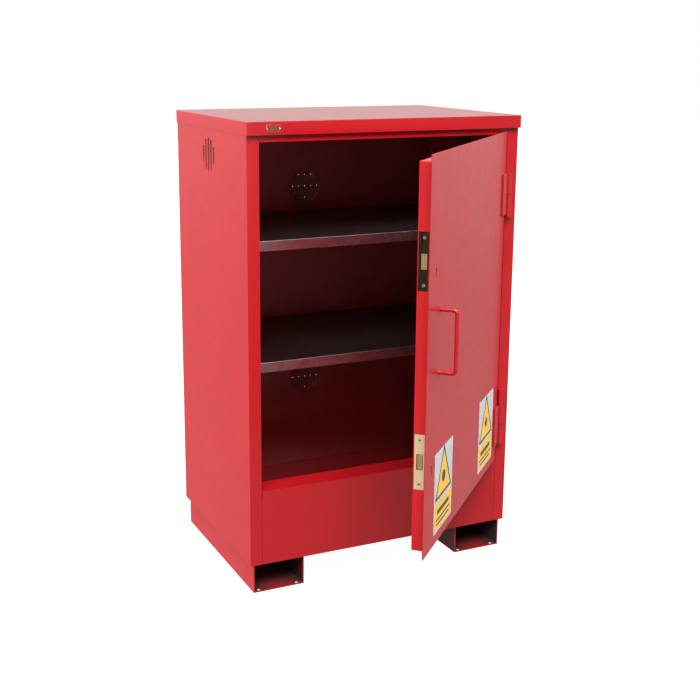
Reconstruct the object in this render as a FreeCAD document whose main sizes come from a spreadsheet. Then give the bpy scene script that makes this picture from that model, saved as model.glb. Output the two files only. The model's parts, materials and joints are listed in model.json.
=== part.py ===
"""Flammable storage cabinet: a folded-steel, single-door cabinet with a spill sump on two skids.

Frame: X to the right, Y to the back, Z up, millimetres. The origin is on the floor, at the
centre of the body's footprint. Door pieces are drawn about the hinge axis, with the door
shut, and their placement then swings them open about that axis.
"""
import FreeCAD, Part

import math
import os
from types import SimpleNamespace

import Sketcher
from FreeCAD import Vector

CELLS = {
    # body shell
    "half_width": 400, "half_depth": 276, "body_base": 82, "roof_top": 1266, "gauge": 2,
    "post_face": 33.5, "post_return": 38.6, "lid_lip": 34, "lid_front": 10.5, "lid_side": 2.3,
    "opening_top": 1214, "header_upturn": 20, "sill_top": 290.5, "ledge_depth": 69.5,
    "ledge_downturn": 14, "corner_notch": 18, "seam": 0.5, "fold_radius": 2,
    "stop_setback": 36.6, "lock_stop": 12, "hinge_stop": 30, "sump_wall": 60,
    # skids
    "skid_width": 148, "skid_gauge": 3, "skid_inset": 11, "skid_setback": 7.5,
    "skid_flange": 18, "anchor_radius": 5.5, "anchor_side": 18, "anchor_end": 10.5,
    # vents
    "vent_radius": 46, "vent_pitch": 20, "vent_slot": 6.5, "side_vent_back": 7,
    "side_vent_height": 1161, "back_vent_high": 1025, "back_vent_low": 420,
    "gauze_thickness": 1.5, "gauze_margin": 6,
    # shelving
    "shelf_half_width": 383, "shelf_front": 52, "shelf_rear": 12, "shelf_lip": 27,
    "shelf_gauge": 1.5, "upper_shelf_top": 955.5, "lower_shelf_top": 629.5,
    "upright_width": 26, "upright_depth": 12, "upright_gauge": 1.5, "upright_foot": 330,
    "upright_length": 850, "upright_front": 180, "upright_rear": 200, "slot_width": 14,
    "slot_tall": 4, "upright_pitch": 25, "clip_tongue": 16, "clip_gauge": 2.5,
    "clip_width": 18, "clip_rise": 24, "clip_clearance": 0.3,
    # nameplate on the lid
    "plate_width": 42, "plate_height": 20, "plate_left": 352, "plate_drop": 28.5,
    "plate_gauge": 1, "rivet_radius": 2.2, "rivet_side": 4,
    # hinges
    "hinge_x": 371, "hinge_standoff": 9, "open_angle": 44.2, "knuckle_radius": 8,
    "knuckle_length": 60.5, "upper_hinge": 1048.8, "lower_hinge": 382.6, "pin_radius": 5,
    "pin_clearance": 0.06, "pin_half": 42, "washer": 0.8, "washer_gap": 0.4,
    "leaf_width": 56, "leaf_gauge": 5, "leaf_gap": 10, "leaf_foot": 8, "weld_pad": 10,
    "lift_stop_height": 44, "lift_stop_gap": 1.5, "lift_stop_width": 20,
    # door
    "skin_left": 759, "skin_right": 17, "skin_bottom": 283, "skin_top": 1223.5,
    "skin_gap": 0.6, "skin_gauge": 2, "tray_left": 734.6, "tray_right": 27,
    "tray_bottom": 294.5, "tray_top": 1206.5, "tray_depth": 33, "tray_gauge": 1.5,
    "brace_x": 371, "brace_half": 30, "brace_depth": 30, "brace_clear": 14,
    # locks
    "upper_lock": 984, "lower_lock": 514, "lock_depth": 17.5, "face_width": 26,
    "face_length": 134, "face_gauge": 2.4, "face_clear": 0.2, "case_deep": 60,
    "case_tall": 96, "case_thick": 20, "case_gauge": 1.5, "key_backset": 31.6,
    "key_drop": 26.5, "curtain_radius": 7.6, "curtain_length": 16, "keyway_half": 1.6,
    "bolt_width": 14, "bolt_tall": 36, "bolt_head": 31, "bolt_inset": 0.6,
    "bolt_tail": 22, "tail_gauge": 3, "tail_tall": 10, "bolt_slack": 1.2, "bolt_room": 4,
    "lever_gauge": 1.6, "lever_pitch": 2.1, "lever_long": 21, "lever_low": 12,
    "lever_high": 14, "lever_start": 34.5, "screw_offset": 54, "screw_radius": 2,
    "screw_head": 4, "screw_long": 12, "keyhole_radius": 4.5, "keyhole_slot": 2.4,
    "keyhole_length": 14, "keep_gauge": 3, "keep_width": 26, "keep_tall": 80,
    # handle and labels
    "handle_x": 659, "handle_height": 787, "handle_half": 75, "handle_reach": 40,
    "handle_radius": 5, "handle_bend": 9, "label_width": 160, "label_height": 204,
    "label_gauge": 0.5, "label_base": 308, "outer_label": 672, "inner_label": 234,
}

XY, XZ, YZ = "XY_Plane", "XZ_Plane", "YZ_Plane"


class Size:
    """A number together with the spreadsheet expression that gives it."""

    def __init__(self, value, text):
        self.value = float(value)
        self.text = text

    @staticmethod
    def of(other):
        return other if isinstance(other, Size) else Size(other, repr(float(other)))

    def join(self, other, sign, value):
        return Size(value, "(%s %s %s)" % (self.text, sign, other.text))

    def __add__(self, other):
        other = Size.of(other)
        return self.join(other, "+", self.value + other.value)

    def __sub__(self, other):
        other = Size.of(other)
        return self.join(other, "-", self.value - other.value)

    def __mul__(self, other):
        other = Size.of(other)
        return self.join(other, "*", self.value * other.value)

    def __neg__(self):
        return self * -1

    def __radd__(self, other):
        return Size.of(other) + self

    def __rsub__(self, other):
        return Size.of(other) - self

    def __rmul__(self, other):
        return Size.of(other) * self


doc = FreeCAD.newDocument("flammable_storage_cabinet")
sheet = doc.addObject("Spreadsheet::Sheet", "sizes")
for row, (alias, number) in enumerate(CELLS.items(), start=1):
    sheet.set("A%d" % row, alias)
    sheet.set("B%d" % row, str(number))
    sheet.setAlias("B%d" % row, alias)
doc.recompute()

s = SimpleNamespace(**{alias: Size(number, "sizes." + alias) for alias, number in CELLS.items()})
nodes = []


# ---------------------------------------------------------------- helpers

def bind(thing, name, size):
    """Sets a property and ties it to the sheet."""
    thing.setExpression(name, Size.of(size).text)


def place(thing, x=0, y=0, z=0):
    """Ties an object's position to the sheet."""
    for axis, size in zip("xyz", (x, y, z)):
        bind(thing, "Placement.Base." + axis, size)
    return thing


def hang_on_door(thing):
    """Places a piece drawn about the hinge axis on the open door."""
    thing.Placement = FreeCAD.Placement(Vector(), FreeCAD.Rotation(Vector(0, 0, 1), 1))
    place(thing, s.hinge_x, -s.half_depth - s.hinge_standoff, 0)
    bind(thing, "Placement.Rotation.Angle", s.open_angle)
    return thing


def node(name, thing, on_door=False):
    """Registers a finished sub-part under its own name."""
    thing.Label = name
    if on_door:
        hang_on_door(thing)
    nodes.append(thing)
    return thing


def block(low, high):
    """A box from its lowest to its highest corner."""
    box = doc.addObject("Part::Box", "block")
    for name, a, b in zip(("Length", "Width", "Height"), low, high):
        bind(box, name, Size.of(b) - a)
    return place(box, *low)


def rod(base, radius, length, axis="Z"):
    """A cylinder that starts at base and runs along +X, +Y or +Z."""
    cylinder = doc.addObject("Part::Cylinder", "rod")
    turn = {"X": (Vector(0, 1, 0), 90), "Y": (Vector(1, 0, 0), -90), "Z": (Vector(0, 0, 1), 0)}
    cylinder.Placement = FreeCAD.Placement(Vector(), FreeCAD.Rotation(*turn[axis]))
    bind(cylinder, "Radius", radius)
    bind(cylinder, "Height", length)
    return place(cylinder, *base)


def fuse(parts):
    if len(parts) == 1:
        return parts[0]
    union = doc.addObject("Part::MultiFuse", "union")
    union.Shapes = parts
    union.Refine = True
    return union


def cut(base, tools):
    result = doc.addObject("Part::Cut", "cut")
    result.Base = base
    result.Tool = fuse(tools)
    return result


def group(parts):
    """Separate solids kept in one sub-part."""
    compound = doc.addObject("Part::Compound", "group")
    compound.Links = parts
    return compound


def round_edges(source, radius, chosen):
    """Rounds the edges of source for which chosen(edge) is true."""
    doc.recompute()
    fillet = doc.addObject("Part::Fillet", "rounded")
    fillet.Base = source
    numbers = [i for i, edge in enumerate(source.Shape.Edges, start=1) if chosen(edge)]
    fillet.Edges = [(i, radius.value, radius.value) for i in numbers]
    return fillet


def new_sketch(body, plane, offset):
    """A sketch on one of the body's origin planes, moved by offset along that plane's normal."""
    sketch = body.newObject("Sketcher::SketchObject", "outline")
    origin = [f for f in body.Origin.OriginFeatures if f.Role == plane][0]
    sketch.AttachmentSupport = [(origin, "")]
    sketch.MapMode = "FlatFace"
    bind(sketch, "AttachmentOffset.Base.z", offset)
    return sketch


def pin_point(sketch, curve, point, u, v):
    """Fixes a sketch point at (u, v) from the sketch's origin."""
    for kind, size in (("DistanceX", u), ("DistanceY", v)):
        size = Size.of(size)
        number = sketch.addConstraint(Sketcher.Constraint(kind, curve, point, size.value))
        bind(sketch, "Constraints[%d]" % number, size)


def add_polygon(sketch, corners):
    """A closed outline whose corners are all tied to the sheet."""
    spots = [Vector(Size.of(u).value, Size.of(v).value, 0) for u, v in corners]
    first = sketch.GeometryCount
    for start, end in zip(spots, spots[1:] + spots[:1]):
        sketch.addGeometry(Part.LineSegment(start, end), False)
    for i, (u, v) in enumerate(corners):
        before = first + (i - 1) % len(corners)
        sketch.addConstraint(Sketcher.Constraint("Coincident", before, 2, first + i, 1))
        pin_point(sketch, first + i, 1, u, v)


def add_circle(sketch, u, v, radius):
    """A circle whose centre and radius are tied to the sheet."""
    spot = Vector(Size.of(u).value, Size.of(v).value, 0)
    curve = sketch.addGeometry(Part.Circle(spot, Vector(0, 0, 1), radius.value), False)
    fix_radius(sketch, curve, radius)
    pin_point(sketch, curve, 3, u, v)


def fix_radius(sketch, curve, radius):
    number = sketch.addConstraint(Sketcher.Constraint("Radius", curve, radius.value))
    bind(sketch, "Constraints[%d]" % number, radius)


def add_arc(sketch, u, v, radius, start, end):
    """An arc between two angles, whose centre and radius are tied to the sheet."""
    circle = Part.Circle(Vector(u.value, v.value, 0), Vector(0, 0, 1), radius.value)
    curve = sketch.addGeometry(Part.ArcOfCircle(circle, start, end), False)
    fix_radius(sketch, curve, radius)
    pin_point(sketch, curve, 3, u, v)
    return curve


def add_tangent_line(sketch, before, before_end, after, after_end):
    """A straight run that leaves one arc and enters the next without a corner."""
    ends = [sketch.getPoint(before, before_end), sketch.getPoint(after, after_end)]
    line = sketch.addGeometry(Part.LineSegment(*ends), False)
    sketch.addConstraint(Sketcher.Constraint("Tangent", before, before_end, line, 1))
    sketch.addConstraint(Sketcher.Constraint("Tangent", line, 2, after, after_end))


def rectangle(u, v, width, height):
    return [(u, v), (u + width, v), (u + width, v + height), (u, v + height)]


def start_of(plane, start):
    """The offset along the plane's normal of a pad that runs along +X, +Y or +Z."""
    return -Size.of(start) if plane == XZ else Size.of(start)


def padded(plane, corners, start, length, holes=()):
    """A body with one outline padded along +X, +Y or +Z from start."""
    body = doc.addObject("PartDesign::Body", "body")
    sketch = new_sketch(body, plane, start_of(plane, start))
    add_polygon(sketch, corners)
    for hole in holes:
        add_circle(sketch, *hole)
    pad = body.newObject("PartDesign::Pad", "pad")
    pad.Profile = sketch
    pad.Reversed = plane == XZ
    bind(pad, "Length", length)
    return body


def pocketed(body, plane, start, length, draw):
    """Cuts the outlines that draw(sketch) makes, along +X, +Y or +Z from start."""
    doc.recompute()
    before = body.Shape.Volume
    sketch = new_sketch(body, plane, start_of(plane, start))
    draw(sketch)
    pocket = body.newObject("PartDesign::Pocket", "pocket")
    pocket.Profile = sketch
    pocket.Reversed = plane != XZ
    bind(pocket, "Length", length)
    doc.recompute()
    if not body.Shape.Volume < before:
        raise RuntimeError("a pocket removed nothing")
    return body


# ---------------------------------------------------------------- body shell

FRONT = -s.half_depth
INNER = s.half_width - s.gauge
OPENING = s.half_width - s.post_face
ROOF_UNDER = s.roof_top - s.gauge
DOOR_Y = s.hinge_standoff


def side_panel(side):
    """One side wall, folded round the front into a post face and an inward return."""
    outline = [
        (side * s.half_width, s.half_depth), (side * s.half_width, FRONT),
        (side * OPENING, FRONT), (side * OPENING, FRONT + s.post_return),
        (side * (OPENING + s.gauge), FRONT + s.post_return),
        (side * (OPENING + s.gauge), FRONT + s.gauge),
        (side * INNER, FRONT + s.gauge), (side * INNER, s.half_depth)]
    body = padded(XY, outline, s.body_base, ROOF_UNDER - s.body_base)
    wall = s.half_width * side if side < 0 else INNER
    return pocketed(body, YZ, wall - 1, s.gauge + 2, draw_side_vent)


def draw_vent(sketch, across, height):
    """Upright slots with round ends, whose lengths follow a circle."""
    count = int(s.vent_radius.value // s.vent_pitch.value)
    for k in range(-count, count + 1):
        step = s.vent_pitch * k
        chord = Size(math.sqrt(s.vent_radius.value ** 2 - step.value ** 2),
                     "sqrt(%s ^ 2 - %s ^ 2)" % (s.vent_radius.text, step.text))
        reach = chord - s.vent_slot
        top = add_arc(sketch, across + step, height + reach, s.vent_slot, 0, math.pi)
        low = add_arc(sketch, across + step, height - reach, s.vent_slot, math.pi, 2 * math.pi)
        add_tangent_line(sketch, top, 2, low, 1)
        add_tangent_line(sketch, low, 2, top, 1)


def draw_side_vent(sketch):
    draw_vent(sketch, s.side_vent_back, s.side_vent_height)


def draw_back_vents(sketch):
    for height in (s.back_vent_high, s.back_vent_low):
        draw_vent(sketch, Size.of(0), height)


def bolt_slot_at(*locks):
    """Draws the slots that the deadbolts enter, in the lock-side return and in the keeps."""
    width, height = s.bolt_width + s.bolt_room, s.bolt_tall + s.bolt_room

    def draw(sketch):
        for lock in locks:
            add_polygon(sketch, rectangle(FRONT + s.lock_depth - width * 0.5,
                                          lock - height * 0.5, width, height))

    return draw


def make_shell():
    left = side_panel(-1)
    pocketed(left, YZ, -OPENING - s.gauge - 1, s.gauge + 2,
             bolt_slot_at(s.upper_lock, s.lower_lock))
    node("left_side_panel", left)
    node("right_side_panel", side_panel(1))

    half = INNER - s.seam * 0.2
    back = padded(XZ, rectangle(-half, s.body_base, half * 2, ROOF_UNDER - s.body_base),
                  s.half_depth - s.gauge, s.gauge)
    node("back_panel", pocketed(back, XZ, s.half_depth - s.gauge - 1, s.gauge + 2,
                                draw_back_vents))

    outer = block((-s.half_width - s.lid_side, FRONT - s.lid_front, s.roof_top - s.lid_lip),
                  (s.half_width + s.lid_side, s.half_depth + s.lid_side, s.roof_top))
    inner_x = s.half_width + s.lid_side - s.gauge
    hollow = block((-inner_x, FRONT - s.lid_front + s.gauge, s.roof_top - s.lid_lip - 1),
                   (inner_x, s.half_depth + s.lid_side - s.gauge, ROOF_UNDER))
    lid = cut(outer, [hollow])
    limit = s.half_width.value + s.lid_side.value
    node("roof_lid", round_edges(lid, s.fold_radius, lambda e: outer_lid_edge(e, limit)))


def outer_lid_edge(edge, limit):
    """True for the lid's top rim and its four outer upright corners."""
    ends = [vertex.Point for vertex in edge.Vertexes]
    on_top = all(abs(p.z - s.roof_top.value) < 0.01 for p in ends)
    upright = abs(ends[0].z - ends[1].z) > 1
    return on_top or (upright and all(abs(abs(p.x) - limit) < 0.01 for p in ends))


def make_front_frame():
    span = OPENING - s.seam
    fold = s.gauge
    header_back = FRONT + s.post_return
    header = [
        (FRONT, ROOF_UNDER), (FRONT, s.opening_top), (header_back, s.opening_top),
        (header_back, s.opening_top + s.header_upturn),
        (header_back - fold, s.opening_top + s.header_upturn),
        (header_back - fold, s.opening_top + fold), (FRONT + fold, s.opening_top + fold),
        (FRONT + fold, ROOF_UNDER)]
    node("header_rail", padded(YZ, header, -span, span * 2))

    ledge_back = FRONT + s.ledge_depth
    fascia = [
        (FRONT, s.body_base), (header_back, s.body_base), (header_back, s.body_base + fold),
        (FRONT + fold, s.body_base + fold), (FRONT + fold, s.sill_top - fold),
        (ledge_back - fold, s.sill_top - fold),
        (ledge_back - fold, s.sill_top - s.ledge_downturn),
        (ledge_back, s.sill_top - s.ledge_downturn), (ledge_back, s.sill_top),
        (FRONT, s.sill_top)]
    front = padded(YZ, fascia, -span, span * 2)

    def corner_notches(sketch):
        for left in (-span - 1, span - s.gauge):
            add_polygon(sketch, rectangle(left, s.sill_top - s.corner_notch, s.gauge + 1,
                                          s.corner_notch + 1))

    node("sump_fascia", pocketed(front, XZ, FRONT - 1, s.gauge + 1, corner_notches))

    half = INNER - s.seam
    near = FRONT + s.post_return + s.seam
    far = s.half_depth - s.gauge - s.seam
    pan = block((-half, near, s.body_base), (half, far, s.body_base + s.sump_wall))
    hollow = block((-half + fold, near + fold, s.body_base + fold),
                   (half - fold, far - fold, s.body_base + s.sump_wall + 1))
    node("sump_pan", cut(pan, [hollow]))

    stops = (("lock_side_stop", -OPENING, s.lock_stop),
             ("hinge_side_stop", OPENING - s.hinge_stop, s.hinge_stop))
    for name, left, width in stops:
        low = s.sill_top + s.seam
        node(name, padded(XY, rectangle(left, FRONT + s.stop_setback, width, s.gauge),
                          low, s.opening_top - s.seam - low))


def make_skids():
    tall, wall, lip = s.body_base, s.skid_gauge, s.skid_flange
    for name, side in (("left_skid", -1), ("right_skid", 1)):
        near = (s.half_width - s.skid_inset) * side
        far = near - s.skid_width * side
        u_in, v_in = near - wall * side, far + wall * side
        outline = [
            (near, 0), (near, tall), (near - lip * side, tall), (near - lip * side, tall - wall),
            (u_in, tall - wall), (u_in, wall), (v_in, wall), (v_in, tall - wall),
            (far + lip * side, tall - wall), (far + lip * side, tall), (far, tall), (far, 0)]
        length = (s.half_depth - s.skid_setback) * 2
        body = padded(XZ, outline, FRONT + s.skid_setback, length)

        def anchors(sketch):
            end = s.half_depth - s.skid_setback - s.anchor_end
            for x in (near - s.anchor_side * side, far + s.anchor_side * side):
                for y in (-end, end):
                    add_circle(sketch, x, y, s.anchor_radius)

        node(name, pocketed(body, XY, -1, wall + 2, anchors))


def make_vent_gauze():
    radius = s.vent_radius + s.gauze_margin
    for name, x in (("left_vent_gauze", -INNER), ("right_vent_gauze", INNER - s.gauze_thickness)):
        node(name, rod((x, s.side_vent_back, s.side_vent_height), radius,
                       s.gauze_thickness, "X"))
    y = s.half_depth - s.gauge - s.gauze_thickness
    for name, z in (("upper_back_gauze", s.back_vent_high), ("lower_back_gauze", s.back_vent_low)):
        node(name, rod((0, y, z), radius, s.gauze_thickness, "Y"))


def make_nameplate():
    x, z = -s.plate_left, s.roof_top - s.plate_drop
    face = FRONT - s.lid_front
    node("nameplate", padded(XZ, rectangle(x, z, s.plate_width, s.plate_height),
                             face - s.plate_gauge, s.plate_gauge))
    heads = [rod((x + offset, face - s.plate_gauge * 2, z + s.plate_height * 0.5),
                 s.rivet_radius, s.plate_gauge, "Y")
             for offset in (s.rivet_side, s.plate_width - s.rivet_side)]
    node("nameplate_rivets", group(heads))


# ---------------------------------------------------------------- shelving

def make_uprights():
    """Four slotted strips on the side walls, for the shelf clips."""
    half = s.upright_width * 0.5
    slots = int(s.upright_length.value // s.upright_pitch.value) - 1
    for name, side, y in (("left_front_upright", -1, -s.upright_front),
                          ("left_rear_upright", -1, s.upright_rear),
                          ("right_front_upright", 1, -s.upright_front),
                          ("right_rear_upright", 1, s.upright_rear)):
        wall = INNER * side
        face = (INNER - s.upright_depth) * side
        skin = (INNER - s.upright_depth + s.upright_gauge) * side
        outline = [
            (wall, y - half), (face, y - half), (face, y + half), (wall, y + half),
            (wall, y + half - s.upright_gauge), (skin, y + half - s.upright_gauge),
            (skin, y - half + s.upright_gauge), (wall, y - half + s.upright_gauge)]
        strip = padded(XY, outline, s.upright_foot, s.upright_length)
        low = skin if side < 0 else face

        def first_slot(sketch):
            add_polygon(sketch, rectangle(y - s.slot_width * 0.5,
                                          s.upright_foot + s.upright_pitch,
                                          s.slot_width, s.slot_tall))

        start = low - (s.upright_gauge if side < 0 else 0) - 1
        pocketed(strip, YZ, start, s.upright_gauge + 3, first_slot)
        row = strip.newObject("PartDesign::LinearPattern", "slot_row")
        row.Originals = [strip.Tip]
        axis = [f for f in strip.Origin.OriginFeatures if f.Role == "Z_Axis"][0]
        row.Direction = (axis, [""])
        row.Occurrences = slots
        bind(row, "Length", s.upright_pitch * (slots - 1))
        strip.Tip = row
        node(name, strip)


def clip(side, y, top):
    """An angle hung in an upright, whose tongue carries the shelf's side lip."""
    face = INNER - s.upright_depth
    back = face * side
    front = (face - s.clip_gauge) * side
    tip = (face - s.clip_tongue) * side
    outline = [(back, top), (tip, top), (tip, top - s.clip_gauge),
               (front, top - s.clip_gauge), (front, top - s.clip_rise), (back, top - s.clip_rise)]
    return padded(XZ, outline, y - s.clip_width * 0.5, s.clip_width)


def make_shelves():
    for name, top in (("upper", s.upper_shelf_top), ("lower", s.lower_shelf_top)):
        low = top - s.shelf_lip
        near, far = FRONT + s.shelf_front, s.half_depth - s.shelf_rear
        wide, thin = s.shelf_half_width, s.shelf_gauge
        plate = block((-wide, near, low), (wide, far, top))
        hollow = block((-wide + thin, near + thin, low - 1), (wide - thin, far - thin, top - thin))
        folded = cut(plate, [hollow])
        node(name + "_shelf", round_edges(
            folded, thin, lambda e: all(abs(v.Z - top.value) < 0.01 for v in e.Vertexes)))
        clips = [clip(side, y, low - s.clip_clearance)
                 for side in (-1, 1) for y in (-s.upright_front, s.upright_rear)]
        node(name + "_shelf_clips", group(clips))


# ---------------------------------------------------------------- hinges

def make_hinge(name, split):
    """A lift-off hinge: frame knuckle and pin below, door leaf and knuckle above."""
    axis_y = FRONT - s.hinge_standoff
    radius, bore = s.knuckle_radius, s.pin_radius
    base = split - s.knuckle_length
    knuckle = rod((s.hinge_x, axis_y, base), radius, s.knuckle_length)
    pad = block((s.hinge_x - s.weld_pad * 0.5, axis_y, base),
                (s.hinge_x + s.weld_pad * 0.5, FRONT, split))
    socket = rod((s.hinge_x, axis_y, split - s.pin_half), bore, s.pin_half + 1)
    node(name + "_hinge_socket", cut(fuse([knuckle, pad]), [socket]))
    node(name + "_hinge_pin", rod((s.hinge_x, axis_y, split - s.pin_half), bore,
                                  s.pin_half * 2))

    ring = rod((s.hinge_x, axis_y, split), radius, s.washer)
    hole = rod((s.hinge_x, axis_y, split - 1), bore, s.washer + 2)
    node(name + "_hinge_washer", cut(ring, [hole]))

    start = split + s.washer + s.washer_gap
    top = split + s.knuckle_length
    leaf_y = DOOR_Y - s.skin_gap - s.skin_gauge - s.leaf_gauge
    barrel = rod((0, 0, start), radius, top - start)
    leaf_high = block((-s.leaf_width, leaf_y, start), (0, leaf_y + s.leaf_gauge, top))
    leaf_low = block((-s.leaf_width, leaf_y, base + s.leaf_foot),
                     (-s.leaf_gap, leaf_y + s.leaf_gauge, start))
    drilled = rod((0, 0, split - 1), bore + s.pin_clearance, s.pin_half + 2)
    node(name + "_hinge_leaf", cut(fuse([barrel, leaf_high, leaf_low]), [drilled]), on_door=True)


def make_hinges():
    make_hinge("upper", s.upper_hinge)
    make_hinge("lower", s.lower_hinge)
    half = s.lift_stop_width * 0.5
    base = s.lower_hinge + s.knuckle_length + s.lift_stop_gap
    stop = block((s.hinge_x - half, FRONT - s.hinge_standoff - s.knuckle_radius, base),
                 (s.hinge_x + half, FRONT, base + s.lift_stop_height))
    node("hinge_lift_stop", stop)


# ---------------------------------------------------------------- door

SKIN_BACK = DOOR_Y - s.skin_gap
SKIN_FRONT = SKIN_BACK - s.skin_gauge
TRAY_BACK = DOOR_Y + s.tray_depth
LOCK_Y = DOOR_Y + s.lock_depth
FACE_X = -s.tray_left
CASE_X = FACE_X + s.face_gauge
LOCKS = (("upper", s.upper_lock), ("lower", s.lower_lock))


def make_door_shell():
    outline = rectangle(-s.skin_left, s.skin_bottom, s.skin_left - s.skin_right,
                        s.skin_top - s.skin_bottom)
    skin = padded(XZ, outline, SKIN_FRONT, s.skin_gauge)
    key_x = FACE_X + s.key_backset

    def round_part(sketch):
        for _, lock in LOCKS:
            add_circle(sketch, key_x, lock - s.key_drop + s.keyhole_radius, s.keyhole_radius)

    def slot_part(sketch):
        for _, lock in LOCKS:
            add_polygon(sketch, rectangle(key_x - s.keyhole_slot, lock - s.key_drop
                                          - s.keyhole_length, s.keyhole_slot * 2,
                                          s.keyhole_length + s.keyhole_radius))

    for draw in (round_part, slot_part):
        pocketed(skin, XZ, SKIN_FRONT - 1, s.skin_gauge + 2, draw)
    node("door_skin", skin, on_door=True)

    thin = s.tray_gauge
    pan = block((-s.tray_left, SKIN_BACK, s.tray_bottom), (-s.tray_right, TRAY_BACK, s.tray_top))
    hollow = block((-s.tray_left + thin, SKIN_BACK - 1, s.tray_bottom + thin),
                   (-s.tray_right - thin, TRAY_BACK - thin, s.tray_top - thin))
    half_w = s.face_width * 0.5 + s.face_clear
    half_h = s.face_length * 0.5 + s.face_clear
    windows = [block((FACE_X - 1, LOCK_Y - half_w, lock - half_h),
                     (FACE_X + thin + 1, LOCK_Y + half_w, lock + half_h)) for _, lock in LOCKS]
    node("door_tray", cut(pan, [hollow] + windows), on_door=True)

    left, right = -s.brace_x - s.brace_half, -s.brace_x + s.brace_half
    front, back = SKIN_BACK, SKIN_BACK + s.brace_depth
    brace = [(left, front), (left, back), (right, back), (right, front), (right - thin, front),
             (right - thin, back - thin), (left + thin, back - thin), (left + thin, front)]
    foot = s.tray_bottom + s.brace_clear
    node("door_brace", padded(XY, brace, foot, s.tray_top - s.brace_clear - foot), on_door=True)


def make_lock(name, lock):
    """A mortice deadlock: case, cap, faceplate, lever pack, curtain and bolt."""
    thick, thin = s.case_thick * 0.5, s.case_gauge
    tall = s.case_tall * 0.5
    back_x = CASE_X + s.case_deep
    slack = s.bolt_slack
    bolt_y, bolt_z = s.bolt_width * 0.5, s.bolt_tall * 0.5
    key_x, key_z = FACE_X + s.key_backset, lock - s.key_drop

    bolt_path = block((FACE_X - 2, LOCK_Y - bolt_y - slack, lock - bolt_z - slack),
                      (CASE_X + thin + 1, LOCK_Y + bolt_y + slack, lock + bolt_z + slack))
    shell = block((CASE_X, LOCK_Y - thick, lock - tall), (back_x, LOCK_Y + thick, lock + tall))
    hollow = block((CASE_X + thin, LOCK_Y - thick - 1, lock - tall + thin),
                   (back_x - thin, LOCK_Y + thick - thin, lock + tall - thin))
    node(name + "_lock_case", cut(shell, [hollow, bolt_path]), on_door=True)

    cap = padded(XZ, rectangle(CASE_X, lock - tall, s.case_deep, s.case_tall),
                 LOCK_Y - thick - thin, thin, holes=[(key_x, key_z, s.keyhole_radius)])
    node(name + "_lock_cap", cap, on_door=True)

    half_w, half_h = s.face_width * 0.5, s.face_length * 0.5
    face = padded(YZ, rectangle(LOCK_Y - half_w, lock - half_h, s.face_width, s.face_length),
                  FACE_X, s.face_gauge,
                  holes=[(LOCK_Y, lock + s.screw_offset, s.screw_head),
                         (LOCK_Y, lock - s.screw_offset, s.screw_head)])

    def bolt_window(sketch):
        add_polygon(sketch, rectangle(LOCK_Y - bolt_y - slack, lock - bolt_z - slack,
                                      (bolt_y + slack) * 2, (bolt_z + slack) * 2))

    node(name + "_lock_faceplate", pocketed(face, YZ, FACE_X - 1, s.face_gauge + 2, bolt_window),
         on_door=True)

    tip = FACE_X + s.bolt_inset
    heel = tip + s.bolt_head
    half_tail = s.tail_tall * 0.5
    bolt = [(tip, lock - bolt_z), (heel, lock - bolt_z), (heel, lock + bolt_z),
            (tip, lock + bolt_z)]
    head = padded(XZ, bolt, LOCK_Y - bolt_y, s.bolt_width)
    tail = block((heel - 1, LOCK_Y - s.tail_gauge * 0.5, lock - half_tail),
                 (heel + s.bolt_tail, LOCK_Y + s.tail_gauge * 0.5, lock + half_tail))
    node(name + "_deadbolt", fuse([head, tail]), on_door=True)

    lever_x = FACE_X + s.lever_start
    first = s.tail_gauge * 0.5 + (s.lever_pitch - s.lever_gauge)
    levers = []
    for rank in (0, 1):
        gap = first + s.lever_pitch * rank
        for y in (LOCK_Y + gap, LOCK_Y - gap - s.lever_gauge):
            levers.append(block((lever_x, y, lock - s.lever_low),
                                (lever_x + s.lever_long, y + s.lever_gauge, lock + s.lever_high)))
    node(name + "_lever_pack", group(levers), on_door=True)

    drum = rod((key_x, LOCK_Y - s.curtain_length * 0.5, key_z), s.curtain_radius,
               s.curtain_length, "Y")
    keyway = block((key_x - s.keyway_half, LOCK_Y - s.curtain_length, key_z - s.curtain_radius * 2),
                   (key_x + s.keyway_half, LOCK_Y + s.curtain_length, key_z))
    node(name + "_lock_curtain", cut(drum, [keyway]), on_door=True)


def faceplate_screw(z):
    """A countersunk screw that enters the faceplate along +X."""
    head = doc.addObject("Part::Cone", "head")
    head.Placement = FreeCAD.Placement(Vector(), FreeCAD.Rotation(Vector(0, 1, 0), 90))
    for name, size in (("Radius1", s.screw_head - 0.1), ("Radius2", s.screw_radius),
                       ("Height", s.face_gauge)):
        bind(head, name, size)
    place(head, FACE_X, LOCK_Y, z)
    shank = rod((FACE_X + s.face_gauge, LOCK_Y, z), s.screw_radius, s.screw_long, "X")
    return fuse([head, shank])


def make_locks():
    for name, lock in LOCKS:
        make_lock(name, lock)
    screws = [faceplate_screw(lock + offset)
              for _, lock in LOCKS for offset in (-s.screw_offset, s.screw_offset)]
    node("faceplate_screws", group(screws), on_door=True)

    for name, lock in LOCKS:
        back = -OPENING - s.gauge
        width, tall = s.keep_width, s.keep_tall
        plate = padded(YZ, rectangle(FRONT + s.lock_depth - width * 0.5, lock - tall * 0.5,
                                     width, tall), back - s.keep_gauge, s.keep_gauge)
        node(name + "_bolt_keep", pocketed(plate, YZ, back - s.keep_gauge - 1,
                                           s.keep_gauge + 2, bolt_slot_at(lock)))


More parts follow.
